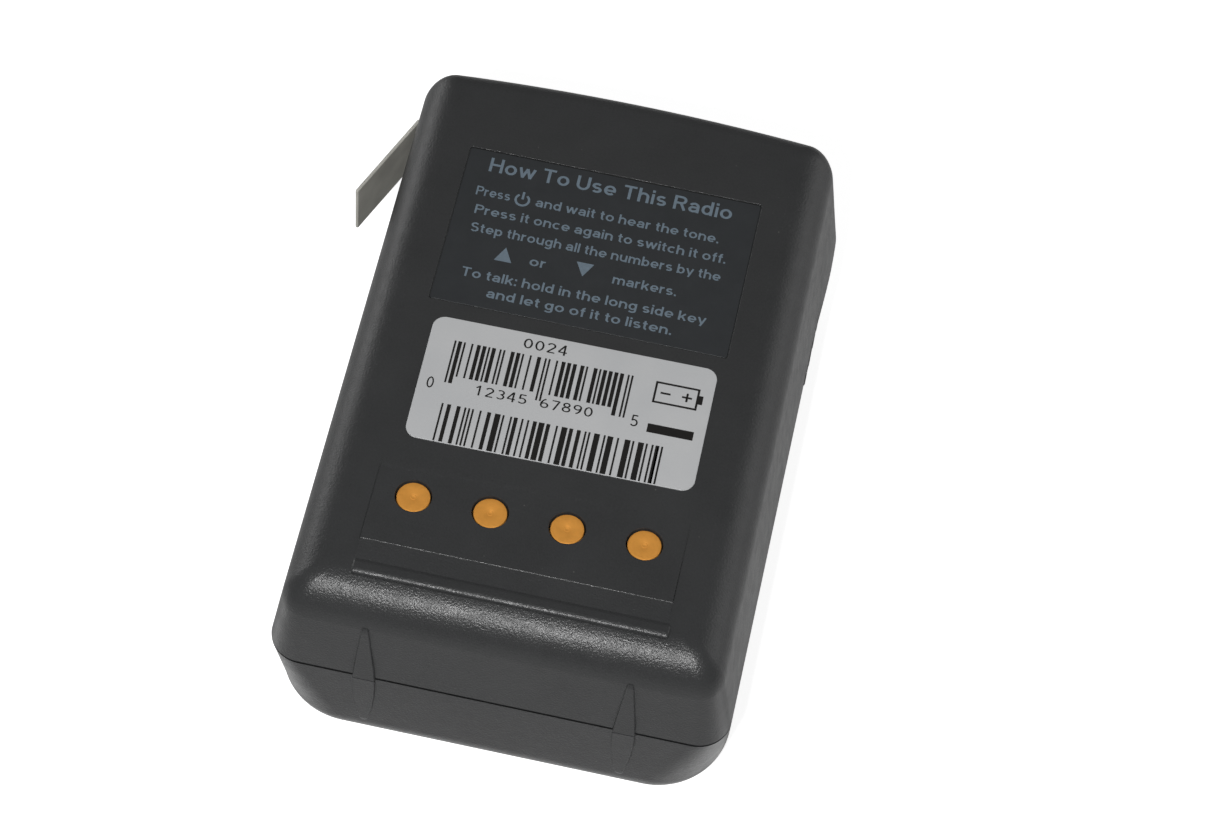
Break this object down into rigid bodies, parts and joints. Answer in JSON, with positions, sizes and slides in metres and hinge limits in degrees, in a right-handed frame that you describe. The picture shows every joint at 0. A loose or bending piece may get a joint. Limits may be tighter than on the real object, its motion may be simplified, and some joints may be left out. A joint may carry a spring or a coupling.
{
  "type": "two way radio",
  "caption": "Compact handheld two way radio in a clamshell case, with a push to talk button, front keys, a hinged jack cover and charging contacts in its back.",
  "frame": {"origin": "on the front face that the radio lies on, at the middle of the case", "axes": "+Z out of the back, +Y to the top end, X across the width"},
  "size_m": [0.0687, 0.0933, 0.038],
  "materials": {
    "shell_plastic": "moulded with a fine spark texture",
    "cover_rubber": "soft, faded to a warm grey",
    "key_rubber": "satin",
    "label_film": "printed film, blue-grey print on charcoal",
    "sticker_paper": "printed in black",
    "contact_gold": "gold plated, brushed by use",
    "screw_steel": "zinc plated",
    "circuit_board": "green solder mask",
    "inner_plastic": "black",
    "connector_plastic": "ivory",
    "window_glass": "clear, smoked",
    "spring_steel": "plain",
    "boot_rubber": "soft black",
    "grille_cloth": "fine acoustic felt",
    "cone_paper": "pressed pulp",
    "antenna_copper": "enamelled copper wire",
    "cell_sleeve": "shrink sleeve"
  },
  "bodies": {
    "root": {"rear_shell": "shell_plastic", "front_shell": "shell_plastic", "display_window": "window_glass", "instruction_label": "label_film", "barcode_label": "sticker_paper", "charge_contact_1": "contact_gold", "charge_contact_2": "contact_gold", "charge_contact_3": "contact_gold", "charge_contact_4": "contact_gold", "contact_board": "circuit_board", "charge_lead": "inner_plastic", "charge_plug": "connector_plastic", "case_screw_1": "screw_steel", "case_screw_2": "screw_steel", "case_screw_3": "screw_steel", "case_screw_4": "screw_steel", "microphone_jack": "inner_plastic", "speaker_jack": "inner_plastic", "ptt_switch": "spring_steel", "lcd_panel": "window_glass", "lcd_backlight": "connector_plastic", "lcd_frame": "inner_plastic", "key_dome_1": "spring_steel", "key_dome_2": "spring_steel", "key_dome_3": "spring_steel", "speaker_cloth": "grille_cloth", "speaker_frame": "spring_steel", "speaker_cone": "cone_paper", "speaker_magnet": "spring_steel", "microphone_boot": "boot_rubber", "microphone": "spring_steel", "light_pipe": "window_glass", "status_led": "connector_plastic", "main_board": "circuit_board", "rf_shield": "spring_steel", "processor": "inner_plastic", "battery_plug": "connector_plastic", "antenna_coil": "antenna_copper", "battery_cell_1": "cell_sleeve", "battery_cell_2": "cell_sleeve", "battery_cell_3": "cell_sleeve", "battery_cradle": "inner_plastic", "battery_link_1": "spring_steel", "battery_link_2": "spring_steel", "battery_foam": "grille_cloth", "battery_lead": "inner_plastic"},
    "accessory_cover": {"accessory_cover": "cover_rubber"},
    "ptt_button": {"ptt_button": "key_rubber"},
    "power_key": {"power_key": "key_rubber"},
    "channel_down_key": {"channel_down_key": "key_rubber"},
    "channel_up_key": {"channel_up_key": "key_rubber"}
  },
  "joints": [
    {"name": "cover_hinge", "type": "hinge", "parent": "root", "child": "accessory_cover", "pos_m": [-0.0303, 0.0375, 0.0268], "axis": [0, 0, -1], "range_deg": [-22, 75]},
    {"name": "ptt_press", "type": "slide", "parent": "root", "child": "ptt_button", "axis": [-1, 0, 0], "range_m": [0, 0.0006], "stiffness_N_per_m": 2500},
    {"name": "power_press", "type": "slide", "parent": "root", "child": "power_key", "axis": [0, 0, 1], "range_m": [0, 0.0005], "stiffness_N_per_m": 2500},
    {"name": "channel_down_press", "type": "slide", "parent": "root", "child": "channel_down_key", "axis": [0, 0, 1], "range_m": [0, 0.0005], "stiffness_N_per_m": 2500},
    {"name": "channel_up_press", "type": "slide", "parent": "root", "child": "channel_up_key", "axis": [0, 0, 1], "range_m": [0, 0.0005], "stiffness_N_per_m": 2500}
  ]
}
